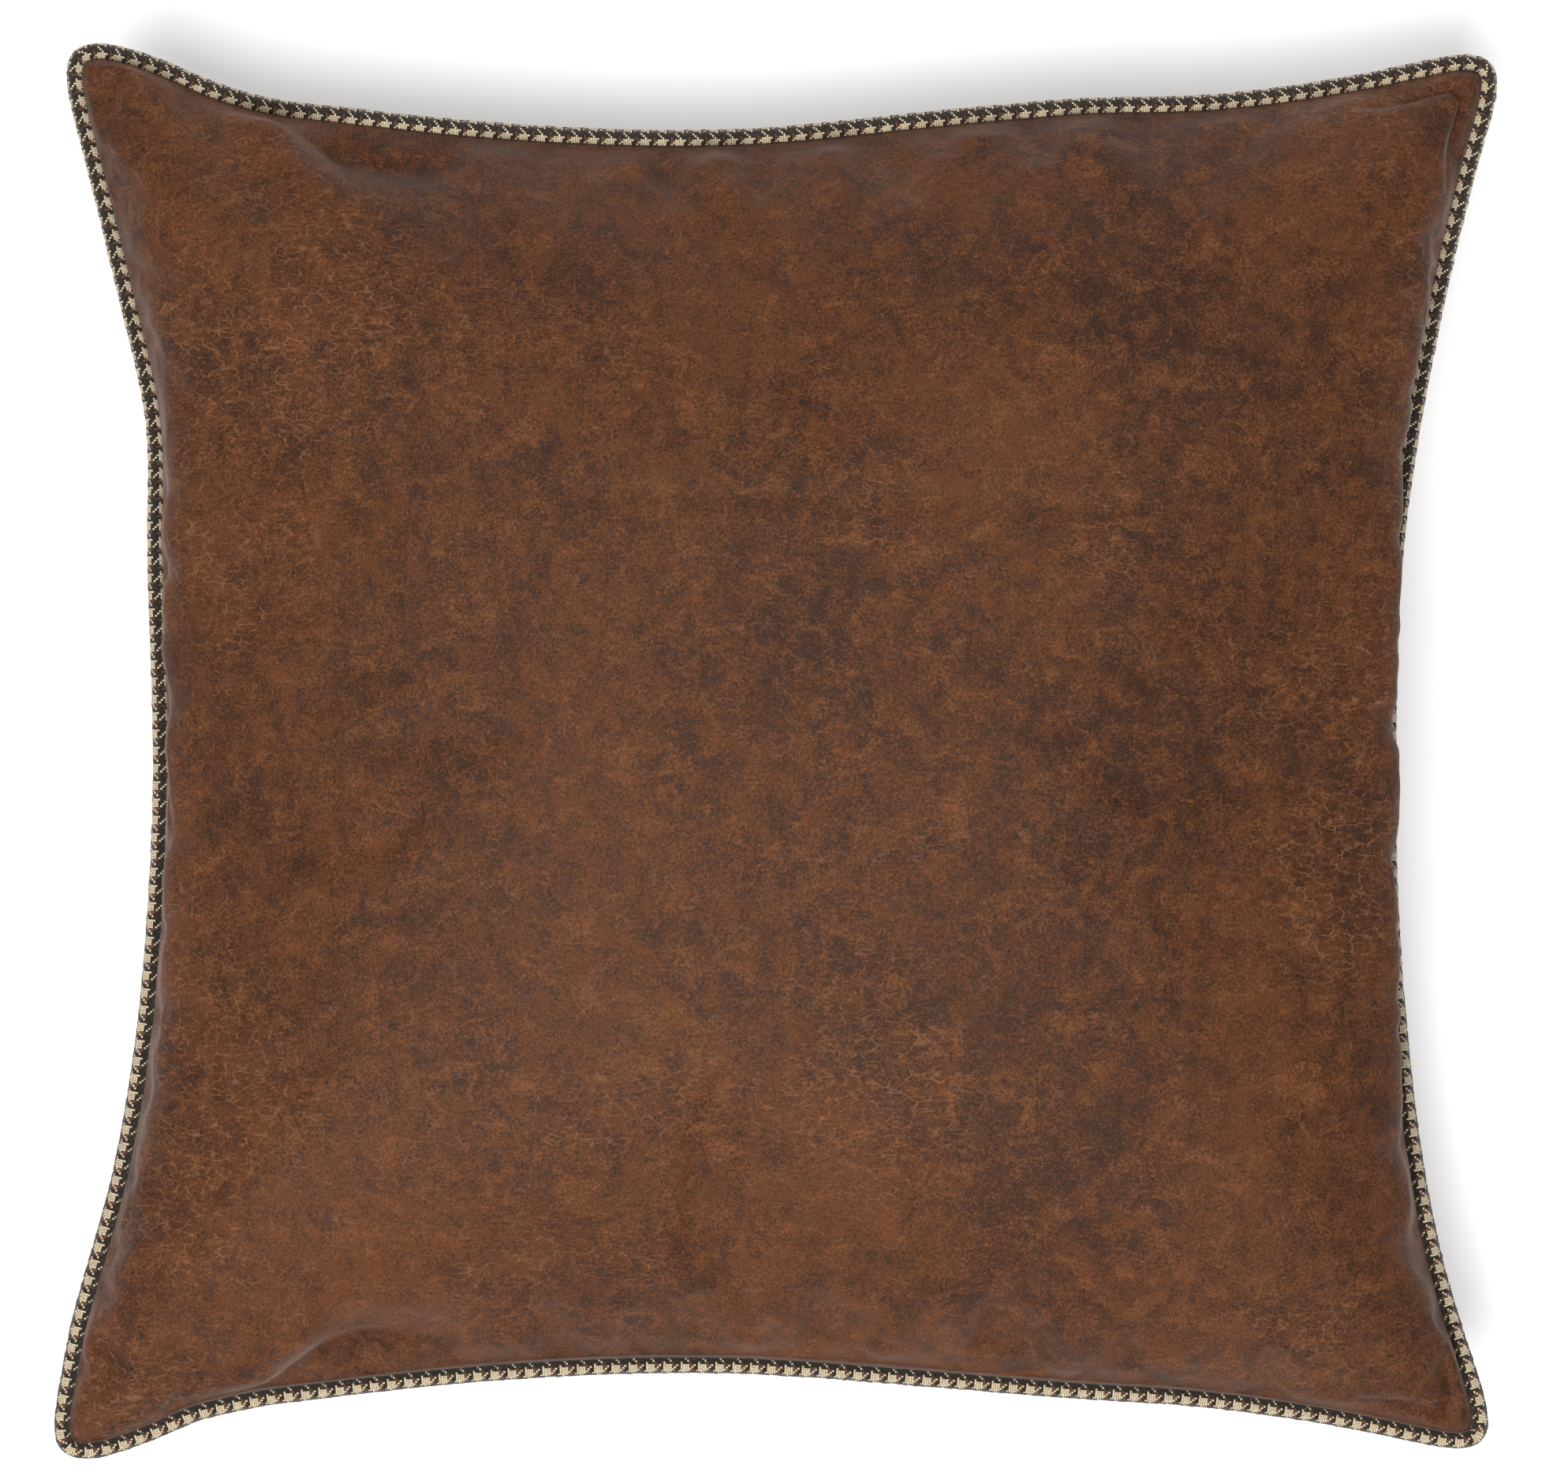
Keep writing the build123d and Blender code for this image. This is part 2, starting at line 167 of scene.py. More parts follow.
def even_spacing(loop, step):
    """The same closed loop with points about one step apart."""
    closed = np.vstack([loop, loop[:1]])
    lengths = np.concatenate([[0], np.cumsum(np.linalg.norm(np.diff(closed, axis=0), axis=1))])
    count = int(round(lengths[-1] / step))
    at = np.linspace(0, lengths[-1], count, endpoint=False)
    return np.stack([np.interp(at, lengths, closed[:, k]) for k in range(2)], axis=-1)


def new_piece(name, verts, faces, smooth=True):
    """A mesh object from plain lists of points and faces."""
    mesh = bpy.data.meshes.new(name)
    mesh.from_pydata([tuple(v) for v in verts], [], [tuple(f) for f in faces])
    mesh.update()
    if smooth:
        mesh.polygons.foreach_set("use_smooth", [True] * len(mesh.polygons))
    piece = bpy.data.objects.new(name, mesh)
    bpy.context.scene.collection.objects.link(piece)
    return piece


def split_at_corners(loop, shares):
    """A closed loop cut at its four corners: for each side, the points at these shares of its length."""
    targets = np.array([corner_bottom_left, corner_bottom_right, corner_top_right, corner_top_left]) * MM
    cuts = [int(np.argmin(np.linalg.norm(loop - target, axis=1))) for target in targets]
    sides = []
    for start, end in zip(cuts, cuts[1:] + [cuts[0] + len(loop)]):
        run = loop[np.arange(start, end + 1) % len(loop)]
        lengths = np.concatenate([[0], np.cumsum(np.linalg.norm(np.diff(run, axis=0), axis=1))])
        at = shares * lengths[-1]
        sides.append(np.stack([np.interp(at, lengths, run[:, k]) for k in range(2)], axis=-1))
    bottom, right, top, left = sides
    return {"bottom": bottom, "right": right, "top": top[::-1], "left": left[::-1]}


def row_spread(count):
    """Shares from 0 to 1 that lie closer together near both ends."""
    x = np.linspace(-1, 1, count)
    return (1 + 0.6 * x + 0.4 * np.sin(math.pi * x / 2)) / 2


def plump_grid(count, inset, root_rise, height, side):
    """The points of one panel, count x count, before the cloth settles: side is 1 for the front and -1 for the back."""
    shares = row_spread(count)
    edges = split_at_corners(seam_loop(0.5 * MM, inset), shares)
    u, v = np.meshgrid(shares, shares)
    bottom, top, left, right = (edges[name] for name in ("bottom", "top", "left", "right"))
    flat = (
        (1 - v)[..., None] * bottom[None] + v[..., None] * top[None]
        + (1 - u)[..., None] * left[:, None] + u[..., None] * right[:, None]
        - ((1 - u) * (1 - v))[..., None] * bottom[0] - (u * (1 - v))[..., None] * bottom[-1]
        - ((1 - u) * v)[..., None] * top[0] - (u * v)[..., None] * top[-1]
    )
    s, t = 2 * u - 1, 2 * v - 1
    crown = np.sqrt((1 - np.abs(s) ** 3.0) * (1 - np.abs(t) ** 3.0))
    points = np.zeros((count, count, 3))
    points[..., :2] = flat
    points[..., 2] = seam_height + side * (root_rise + (height - root_rise) * crown)
    return points


def swollen(points, left, right):
    """Points moved out where the two sides swell past their seam, most in the middle."""
    coarse = 2 * row_spread(cloth_rows) - 1
    shares = np.interp(np.linspace(0, cloth_rows - 1, points.shape[0]), np.arange(cloth_rows), coarse)
    s, t = np.meshgrid(shares, shares)
    points = points.copy()
    for sign, swell in ((-1, left), (1, right)):
        near = np.maximum(1 - sign * s, 0) / swell_reach
        points[..., 0] += sign * swell * MM * near * np.exp(1 - near) * np.clip(1 - t**2, 0, 1) ** 1.5
    return points


# How far the sides swell past the seam, in millimetres, and the share of the panel that it takes
left_swell = 16.0
right_swell = 23.0
back_swell_share = 0.5
swell_reach = 0.08
# Where a panel leaves the seam: in from the piping's centre line, and up from it
root_inset = 2.3 * MM
root_rise = 1.9 * MM
front_crown = pillow_high.z - seam_height
back_crown = seam_height - pillow_low.z

# ---- cloth ----

cloth_rows = 97
refined = 3
cloth_thickness = 1.2 * MM
# Height of the panels before they settle, as a share of the crown's
start_share = 0.86
cloth_frames = 24
largest_move = 26 * MM


def settle(front, back):
    """Lets both panels settle as cloth over the filling's pressure, held at the seam. Returns their new points."""
    rows = front.shape[0]
    verts = np.concatenate([front.reshape(-1, 3), back.reshape(-1, 3)])
    faces, held = [], []
    for panel in range(2):
        first = panel * rows * rows
        for j in range(rows - 1):
            for i in range(rows - 1):
                a = first + j * rows + i
                quad = (a, a + 1, a + rows + 1, a + rows)
                faces.append(quad if panel == 0 else quad[::-1])
        held += [
            first + j * rows + i for j in range(rows) for i in range(rows)
            if i in (0, rows - 1) or j in (0, rows - 1)
        ]
    cloth = new_piece("settling_cloth", verts, faces)
    cloth.vertex_groups.new(name="held").add(held, 1.0, "REPLACE")
    modifier = cloth.modifiers.new("cloth", "CLOTH")
    settings = modifier.settings
    settings.quality = 6
    settings.mass = 0.05
    settings.tension_stiffness = 60
    settings.compression_stiffness = 30
    settings.shear_stiffness = 20
    settings.bending_stiffness = 8
    settings.tension_damping = 20
    settings.compression_damping = 20
    settings.shear_damping = 15
    settings.bending_damping = 2
    settings.air_damping = 4
    settings.vertex_group_mass = "held"
    settings.pin_stiffness = 1
    settings.use_pressure = True
    settings.uniform_pressure_force = 13
    settings.shrink_min = -0.02
    settings.effector_weights.gravity = 0
    modifier.point_cache.frame_start = 1
    modifier.point_cache.frame_end = cloth_frames
    for step in range(1, cloth_frames + 1):
        bpy.context.scene.frame_set(step)
    evaluated = cloth.evaluated_get(bpy.context.evaluated_depsgraph_get())
    settled = np.zeros(len(verts) * 3)
    evaluated.data.vertices.foreach_get("co", settled)
    settled = settled.reshape(-1, 3)
    bpy.data.objects.remove(cloth)
    bpy.context.scene.frame_set(1)
    move = settled - verts
    length = np.linalg.norm(move, axis=1, keepdims=True)
    move *= np.minimum(1, largest_move / np.maximum(length, 1e-9))
    settled = verts + move
    return settled[: rows * rows].reshape(front.shape), settled[rows * rows :].reshape(front.shape)


# The power that fills the shoulders, and how far the back would reach below the surface that flattens it
fullness = 0.8
rest_sink = 4 * MM
rest_softness = 9 * MM


def filled_out(points, side, crown):
    """A settled panel raised to its crown's height, with its shoulders filled."""
    points = points.copy()
    rise = side * (points[..., 2] - seam_height) - root_rise
    share = np.clip(rise / rise.max(), 0, None) ** fullness
    below = np.minimum(rise, 0)
    points[..., 2] = seam_height + side * (root_rise + (crown - root_rise) * share + below)
    return points


def finer(grid, times):
    """The same grid with each cell cut into times x times, on smooth curves through its points."""
    for axis in (0, 1):
        count = grid.shape[axis]
        at = np.linspace(0, count - 1, (count - 1) * times + 1)
        k = np.clip(at.astype(int), 0, count - 2)
        t = (at - k).reshape([-1, 1, 1])
        moved = np.moveaxis(grid, axis, 0)
        a, b = moved[k], moved[k + 1]
        before, after = moved[np.maximum(k - 1, 0)], moved[np.minimum(k + 2, count - 1)]
        slope_a, slope_b = (b - before) / 2, (after - a) / 2
        curve = (
            (2 * t**3 - 3 * t**2 + 1) * a + (t**3 - 2 * t**2 + t) * slope_a
            + (-2 * t**3 + 3 * t**2) * b + (t**3 - t**2) * slope_b
        )
        grid = np.moveaxis(curve, 0, axis)
    return grid


def grid_normals(grid, side):
    """Unit vectors out of one panel."""
    normals = np.cross(np.gradient(grid, axis=1), np.gradient(grid, axis=0))
    return side * normals / np.maximum(np.linalg.norm(normals, axis=2, keepdims=True), 1e-12)


# Ear folds, puckers and the faint line on the front: start, end, height, half width (all in millimetres)
front_folds = (
    ((-192, 234), (-158, 192), 8.5, 9.0),
    ((-172, 226), (-120, 206), -9.5, 12.0),
    ((-214, 222), (-196, 198), -1.6, 9.0),
    ((-196, -232), (-160, -193), 8.5, 9.0),
    ((-176, -225), (-124, -206), -9.0, 12.0),
    ((-216, -216), (-198, -194), -1.6, 9.0),
    ((222, 214), (196, 186), 1.6, 9.0),
    ((222, -216), (196, -186), 1.6, 9.0),
    ((-42, 214), (-36, 192), -4.2, 5.0),
    ((-20, 214), (-20, 188), 3.4, 7.0),
    ((-3, 215), (-6, 194), -4.4, 4.5),
    ((16, 216), (26, 186), 4.2, 7.0),
    ((40, 218), (46, 194), -3.8, 5.0),
    ((-30, -214), (-26, -192), -3.8, 5.0),
    ((-8, -214), (-6, -186), 3.6, 8.0),
    ((10, -215), (16, -192), -4.4, 5.0),
    ((34, -218), (44, -188), 4.0, 8.0),
    ((66, -222), (76, -194), -4.2, 5.0),
    ((96, -224), (104, -192), 3.4, 8.0),
    ((-60, 88), (110, 84), -0.7, 5.0),
)


def folded(points, normals, folds):
    """Points moved along their normals by the soft ridges and valleys of the folds."""
    overrun, fold_start, fold_full = 0.25, 1.5 * MM, 10.5 * MM
    rise = np.zeros(points.shape[:2])
    for start, end, height, half_width in folds:
        a, b = np.array(start) * MM, np.array(end) * MM
        along = b - a
        share = np.clip(((points[..., :2] - a) @ along) / (along @ along), -overrun, 1 + overrun)
        nearest = a + share[..., None] * along
        away = np.linalg.norm(points[..., :2] - nearest, axis=2) / (half_width * MM)
        fade = np.clip(1 - ((2 * share - 1) / (1 + 2 * overrun)) ** 2, 0, 1)
        rise += height * MM * fade * np.exp(-(away**2))
    # The seam holds the cloth, so folds die out towards it
    edge = np.concatenate([points[0], points[-1], points[:, 0], points[:, -1]])[:, :2]
    gap = np.full(points.shape[:2], 1.0)
    for point in edge:
        gap = np.minimum(gap, np.hypot(points[..., 0] - point[0], points[..., 1] - point[1]))
    held = np.clip((gap - fold_start) / (fold_full - fold_start), 0, 1)
    return points + normals * (rise * held * held * (3 - 2 * held))[..., None]


def panel_mesh(name, grid, side):
    """A panel's mesh piece from its grid of points."""
    rows = grid.shape[0]
    index = np.arange(rows * rows).reshape(rows, rows)
    quads = np.stack([index[:-1, :-1], index[:-1, 1:], index[1:, 1:], index[1:, :-1]], axis=-1).reshape(-1, 4)
    if side < 0:
        quads = quads[:, ::-1]
    piece = new_piece(name, grid.reshape(-1, 3), quads.tolist())
    thickness = piece.modifiers.new("cloth_thickness", "SOLIDIFY")
    thickness.thickness = cloth_thickness
    thickness.offset = -1
    return piece


def held_under(z, limit, softness):
    """Heights kept under a limit, bending into it smoothly."""
    over = z - (limit - softness)
    return np.where(over > 0, limit - softness * np.exp(-np.maximum(over, 0) / softness), z)


start = start_share
front_grid = plump_grid(cloth_rows, root_inset, root_rise, front_crown * start, 1)
back_grid = plump_grid(cloth_rows, root_inset, root_rise, back_crown * start, -1)
front_grid, back_grid = settle(front_grid, back_grid)
front_grid = filled_out(front_grid, 1, front_crown)
back_grid = filled_out(back_grid, -1, back_crown + rest_sink)
front_grid = swollen(finer(front_grid, refined), left_swell, right_swell)
back_grid = swollen(finer(back_grid, refined), left_swell * back_swell_share, right_swell * back_swell_share)
front_grid = folded(front_grid, grid_normals(front_grid, 1), front_folds)
back_grid[..., 2] = -held_under(-back_grid[..., 2], -pillow_low.z, rest_softness)

# The back panel's edge drops to leave the zipper's mouth open
mouth_from, mouth_to = -178 * MM, 178 * MM
mouth_floor = 65.7 * MM
edge_fade = 7 * MM
mouth_depth = 28 * MM
hem_setback = 1.5 * MM


def mouth_share(x):
    """1 over the zipper's mouth, 0 past its ends."""
    rise = np.clip((x - mouth_from) / edge_fade, 0, 1) * np.clip((mouth_to - x) / edge_fade, 0, 1)
    return rise * rise * (3 - 2 * rise)


opening = mouth_share(back_grid[..., 0])
low = back_grid[..., 1] < 0
root_z = seam_height - root_rise
drop = root_z - mouth_floor
depth_below = np.clip((root_z - back_grid[..., 2]) / mouth_depth, 0, 1)
back_grid[..., 2] -= np.where(low, opening * drop * (1 - depth_below) ** 2, 0)
back_grid[..., 1] += np.where(low, opening * hem_setback * (1 - depth_below) ** 2, 0)

cover_front = panel_mesh("cover_front", front_grid, 1)
cover_back = panel_mesh("cover_back", back_grid, -1)

# ---- piping ----


def add_uv(piece, coordinates):
    """Gives a piece a UV map from one (u, v) per face corner."""
    layer = piece.data.uv_layers.new(name="UVMap")
    layer.data.foreach_set("uv", np.asarray(coordinates, dtype=np.float32).ravel())


def tube(name, line, radii, around, start_angle=0.0):
    """A closed tube along a closed line of 3-D points. Its UV is (distance along, distance round), in metres."""
    count = len(line)
    along = np.roll(line, -1, axis=0) - np.roll(line, 1, axis=0)
    along /= np.linalg.norm(along, axis=1, keepdims=True)
    up = np.tile(np.array([0.0, 0.0, 1.0]), (count, 1))
    out = np.cross(along, up)
    out /= np.linalg.norm(out, axis=1, keepdims=True)
    angles = start_angle + np.linspace(0, 2 * math.pi, around, endpoint=False)
    rings = line[:, None] + radii[..., None] * (
        np.cos(angles)[None, :, None] * out[:, None] + np.sin(angles)[None, :, None] * up[:, None]
    )
    i, j = np.meshgrid(np.arange(count), np.arange(around), indexing="ij")
    next_i, next_j = (i + 1) % count, (j + 1) % around
    quads = np.stack([i * around + j, next_i * around + j, next_i * around + next_j, i * around + next_j], axis=-1)
    piece = new_piece(name, rings.reshape(-1, 3), quads.reshape(-1, 4).tolist())
    steps = np.linalg.norm(np.roll(line, -1, axis=0) - line, axis=1)
    at = np.concatenate([[0], np.cumsum(steps)])
    round_step = 2 * math.pi * float(np.mean(radii)) / around
    u = np.stack([at[i], at[i + 1], at[i + 1], at[i]], axis=-1)
    v = np.stack([j, j, j + 1, j + 1], axis=-1) * round_step
    add_uv(piece, np.stack([u, v], axis=-1).reshape(-1, 2))
    return piece


thread_width = 0.76 * MM
twill_repeat = 4
band_threads = 8
piping_around = 36
piping_step = 0.36 * MM


def seam_line_3d(step, inset=0.0, height=None):
    """The seam as closed 3-D points."""
    flat = seam_loop(step, inset)
    return np.column_stack([flat, np.full(len(flat), seam_height if height is None else height)])


rng = np.random.default_rng(7)
piping_line = seam_line_3d(piping_step)
# A whole number of dogtooth repeats round the loop, so that the cloth shows no join
piping_length = float(np.sum(np.linalg.norm(np.roll(piping_line, -1, axis=0) - piping_line, axis=1)))
repeats = round(piping_length / (thread_width * band_threads))
thread_along = piping_length / (repeats * band_threads)
thread_round = 2 * math.pi * piping_radius / (3 * band_threads + 2)

ring_at = np.linspace(0, piping_length, len(piping_line), endpoint=False)[:, None]
round_at = np.linspace(0, 2 * math.pi * piping_radius, piping_around, endpoint=False)[None, :]
# The strip turns by half a repeat on its way up each side
twist_reach = 180 * MM
twist = np.clip((piping_line[:, 1:2] + twist_reach) / (2 * twist_reach), 0, 1) * band_threads / 2
warp, weft = np.floor(ring_at / thread_along), np.floor(round_at / thread_round + twist)
zigzag = np.abs(weft % band_threads - band_threads / 2)
warp_up = ((warp + zigzag) % twill_repeat) < twill_repeat / 2
knob = np.where(
    warp_up,
    np.abs(np.sin(math.pi * ring_at / thread_along)),
    np.abs(np.sin(math.pi * round_at / thread_round)),
)
slub_rings, slub_points = 5, 4
slubs = rng.normal(0, 1, (len(piping_line) // slub_rings + 2, piping_around // slub_points))
slubs = np.repeat(np.repeat(slubs, slub_rings, axis=0)[: len(piping_line)], slub_points, axis=1)
slubs = (np.roll(slubs, 1, 0) + slubs + np.roll(slubs, 2, 0) + np.roll(slubs, -1, 0)) / 4
knob_relief, slub_relief, knob_middle = 0.06, 0.03, 0.6
radii = piping_radius * (1 + knob_relief * (knob - knob_middle) + slub_relief * slubs)
# The wrapped cord swells and thins a little along its length
wave_height, short_wave, long_wave = 0.05 * MM, 31 * MM, 117 * MM
radii += wave_height * np.sin(2 * math.pi * ring_at / short_wave) * np.sin(2 * math.pi * ring_at / long_wave)
piping = tube("piping", piping_line, radii, piping_around, math.pi)

seam_step = 1.5 * MM
cord_radius, cord_lay, cord_around = 2.2 * MM, 9 * MM, 24
cord_line = seam_line_3d(seam_step)
cord_twist = np.linspace(0, 2 * math.pi, cord_around, endpoint=False)[None, :]
cord_at = np.linspace(0, piping_length, len(cord_line), endpoint=False)[:, None]
cord_radii = cord_radius * (1 + 0.05 * np.abs(np.sin(1.5 * (cord_twist - 2 * math.pi * cord_at / cord_lay))))
piping_cord = tube("piping_filler", cord_line, cord_radii, cord_around)


def band(name, lower, upper, thickness, closed=True):
    """A strip between two lines of points, with its thickness. Its UV is (distance along, distance across)."""
    count = len(lower)
    verts = np.concatenate([lower, upper])
    pairs = [(i, (i + 1) % count) for i in range(count if closed else count - 1)]
    piece = new_piece(name, verts, [(a, b, count + b, count + a) for a, b in pairs])
    at = np.concatenate([[0], np.cumsum(np.linalg.norm(np.roll(lower, -1, axis=0) - lower, axis=1))])
    width = float(np.mean(np.linalg.norm(upper - lower, axis=1)))
    corners = [((at[a], 0), (at[a + 1], 0), (at[a + 1], width), (at[a], width)) for a, _ in pairs]
    add_uv(piece, [uv for quad in corners for uv in quad])
    solid = piece.modifiers.new("thickness", "SOLIDIFY")
    solid.thickness = thickness
    solid.offset = 0
    return piece


# The piping's two turned-in legs, which the seam holds
legs_inset, legs_width, legs_thickness = 2.6 * MM, 9.6 * MM, 1.5 * MM
legs_outer = seam_loop(seam_step, legs_inset)
legs_inner = legs_outer + legs_width * inward_normals(legs_outer)
legs_z = np.full(len(legs_outer), seam_height)
piping_legs = band(
    "piping_legs", np.column_stack([legs_outer, legs_z]), np.column_stack([legs_inner, legs_z]), legs_thickness
)


stitch_gap = 0.5 * MM


def stitches(name, line, length, gap, radius, around=8):
    """Thread stitches as short rounded strands along a line of 3-D points."""
    lengths = np.concatenate([[0], np.cumsum(np.linalg.norm(np.diff(line, axis=0), axis=1))])
    verts, faces = [], []
    ends = (0.0, 0.08, 0.5, 0.92, 1.0)
    width = (0.35, 0.9, 1.0, 0.9, 0.35)
    angles = np.linspace(0, 2 * math.pi, around, endpoint=False)
    for first in np.arange(gap, lengths[-1] - length, length + gap):
        at = first + length * np.array(ends)
        points = np.stack([np.interp(at, lengths, line[:, k]) for k in range(3)], axis=-1)
        along = points[-1] - points[0]
        along /= np.linalg.norm(along)
        side = np.cross(along, (0, 0, 1))
        side /= np.linalg.norm(side)
        up = np.cross(side, along)
        base = len(verts)
        for point, share in zip(points, width):
            verts += [tuple(point + radius * share * (math.cos(a) * side + math.sin(a) * up)) for a in angles]
        for ring in range(len(ends) - 1):
            for k in range(around):
                a, b = base + ring * around + k, base + ring * around + (k + 1) % around
                faces.append((a, b, b + around, a + around))
        faces.append(tuple(base + k for k in reversed(range(around))))
        faces.append(tuple(base + (len(ends) - 1) * around + k for k in range(around)))
    return new_piece(name, verts, faces)


seam_stitch_inset, seam_stitch_rise, seam_stitch_length = 6.0 * MM, 2.0 * MM, 2.6 * MM
seam_closed = seam_line_3d(seam_step, seam_stitch_inset, seam_height + seam_stitch_rise)
seam_closed = np.vstack([seam_closed, seam_closed[:1]])
seam_stitches = stitches("seam_stitches", seam_closed, seam_stitch_length, stitch_gap, radius=0.25 * MM)

# ---- zipper ----

# The slider turns about this point, so the chain keeps to the arc of the bottom seam round it
zip_centre = (5.9 * MM, -1187.8 * MM)
zip_radius = 973.4585 * MM
chain_z = 70.5 * MM


def zip_point(at, inset, z):
    """A point in the zipper's frame: distance right of its middle, inset from the seam, height."""
    middle = math.atan2(waists["bottom"][1] * MM - zip_centre[1], waists["bottom"][0] * MM - zip_centre[0])
    angle = middle - at / zip_radius
    reach = zip_radius + inset
    return zip_centre[0] + reach * math.cos(angle), zip_centre[1] + reach * math.sin(angle), z


coil_pitch = 1.5 * MM
coil_wire = 0.3 * MM
coil_middle_inset = 7.35 * MM
# Each loop's centre above or below the chain's middle, its reach, and its half width
coil_rise, coil_reach, coil_half_width = 0.75 * MM, 1.05 * MM, 0.62 * MM
coil_from, coil_to = -155.0 * MM, 157.5 * MM


def coil(name, side):
    """One side of the zipper: a nylon wire wound in loops that reach past the chain's middle."""
    per_turn, around = 12, 6
    turns = int((coil_to - coil_from) / coil_pitch)
    verts, faces = [], []
    phase = 0.0 if side > 0 else 0.5
    for k in range(turns * per_turn):
        turn = k / per_turn
        angle = 2 * math.pi * (turn + phase)
        rise = side * (coil_rise + coil_reach * math.cos(angle))
        inset = coil_middle_inset + coil_half_width * math.sin(angle)
        centre = np.array(zip_point(coil_from + turn * coil_pitch, inset, chain_z + rise))
        out = np.array([0.0, math.sin(angle), side * math.cos(angle)])
        across = np.array([1.0, 0.0, 0.0])
        for m in range(around):
            a = 2 * math.pi * m / around
            verts.append(tuple(centre + coil_wire * (math.cos(a) * out + math.sin(a) * across)))
        if k:
            base = (k - 1) * around
            for m in range(around):
                n = (m + 1) % around
                faces.append((base + m, base + n, base + around + n, base + around + m))
    last = (turns * per_turn - 1) * around
    faces.append(tuple(reversed(range(around))))
    faces.append(tuple(last + m for m in range(around)))
    return new_piece(name, verts, faces)


coil_front = coil("coil_front", 1)
coil_back = coil("coil_back", -1)


def bottom_edge(xs, inset, z):
    """Points of the bottom seam at these X, at an inset and height."""
    loop = seam_loop(0.5 * MM, inset)
    side = loop[(loop[:, 1] < -180 * MM) & (np.abs(loop[:, 0]) < 235 * MM)]
    side = side[np.argsort(side[:, 0])]
    return np.column_stack([xs, np.interp(xs, side[:, 0], side[:, 1]), np.full(len(xs), z)])


# The back panel's edge, turned in under the zipper: where it starts and ends, and how far under the mouth's floor
hem_start, hem_end = 4.2 * MM, 9.4 * MM
hem_start_drop, hem_end_drop = 0.6 * MM, 0.9 * MM
hem_xs = np.linspace(mouth_from + 3 * MM, mouth_to - 3 * MM, 240)
hem_outer = bottom_edge(hem_xs, hem_start, mouth_floor - hem_start_drop)
hem_inner = bottom_edge(hem_xs, hem_end, mouth_floor - hem_end_drop)
mouth_hem = band("mouth_hem", hem_outer, hem_inner, cloth_thickness, closed=False)


def panel_line(grid, z):
    """The line along the back panel's bottom edge where it is at a height, over the zipper's mouth."""
    points = []
    for i in range(grid.shape[1]):
        column = grid[: grid.shape[0] // 3, i]
        below = np.argmax(column[:, 2] < z)
        if below and mouth_from + 6 * MM < column[below, 0] < mouth_to - 6 * MM:
            a, b = column[below - 1], column[below]
            points.append(a + (b - a) * (a[2] - z) / (a[2] - b[2]))
    return np.array(points)


topstitch_drop, topstitch_lift, topstitch_length = 3.2 * MM, 0.3 * MM, 2.9 * MM
zip_stitch_line = panel_line(back_grid, mouth_floor - topstitch_drop) - np.array([0, topstitch_lift, 0])
zip_stitches = stitches("zipper_topstitch", zip_stitch_line, topstitch_length, stitch_gap, radius=0.26 * MM)

# A facing of the same cloth behind the tapes closes the mouth past the ends of the chain
facing_overlap = 8 * MM
facing_low_inset, facing_high_inset = 12.0 * MM, 11.4 * MM
facing_low, facing_high = seam_height - 18 * MM, seam_height - 0.8 * MM
facing_xs = np.linspace(mouth_from - facing_overlap, mouth_to + facing_overlap, 200)
facing_lower = bottom_edge(facing_xs, facing_low_inset, facing_low)
facing_upper = bottom_edge(facing_xs, facing_high_inset, facing_high)
mouth_facing = band("mouth_facing", facing_lower, facing_upper, cloth_thickness, closed=False)

# ---- inside: the insert and its filling ----


def inner_form(name, wide, tall):
    """A closed form inside the cover, and its seam: the cover's own shape, with its width and height scaled."""
    rows = cloth_rows
    front = front_grid[::refined, ::refined].copy()
    back = back_grid[::refined, ::refined].copy()
    border = np.zeros((rows, rows), bool)
    border[[0, -1]] = border[:, [0, -1]] = True
    for grid in (front, back):
        grid[..., :2] *= wide
        grid[..., 2] = seam_height + tall * (grid[..., 2] - seam_height)
    seam = (front[border] + back[border]) / 2
    seam[:, 2] = seam_height
    front[border] = back[border] = seam
    index = np.arange(rows * rows).reshape(rows, rows)
    back_index = index + rows * rows
    back_index[border] = index[border]
    faces = []
    for table, flip in ((index, False), (back_index, True)):
        quads = np.stack([table[:-1, :-1], table[:-1, 1:], table[1:, 1:], table[1:, :-1]], axis=-1).reshape(-1, 4)
        faces += (quads[:, ::-1] if flip else quads).tolist()
    used = np.zeros(2 * rows * rows, bool)
    used[np.array(faces).ravel()] = True
    renumber = np.cumsum(used) - 1
    points = np.concatenate([front.reshape(-1, 3), back.reshape(-1, 3)])[used]
    piece = new_piece(name, points, renumber[np.array(faces)].tolist())
    edge = np.concatenate([front[0, :-1], front[:-1, -1], front[-1, :0:-1], front[:0:-1, 0]])
    return piece, edge


insert, insert_edge = inner_form("insert", wide=0.945, tall=0.965)
filling, _ = inner_form("filling", wide=0.935, tall=0.95)
insert_edge = np.vstack([insert_edge, insert_edge[:1]])
insert_stitches = stitches(
    "insert_seam_stitches", insert_edge, seam_stitch_length, stitch_gap, radius=0.2 * MM, around=6
)
# The stretch at the bottom where the insert was filled and closed by hand, with longer stitches
closing_half = 60 * MM
at_bottom = insert_edge[:, 1] < -150 * MM
closing = insert_edge[at_bottom & (np.abs(insert_edge[:, 0]) < closing_half)]
closing -= [0, 0.3 * MM, 0]
closing_stitches = stitches(
    "insert_closing_stitches_sewn", closing, length=4.5 * MM, gap=1.5 * MM, radius=0.3 * MM, around=6
)


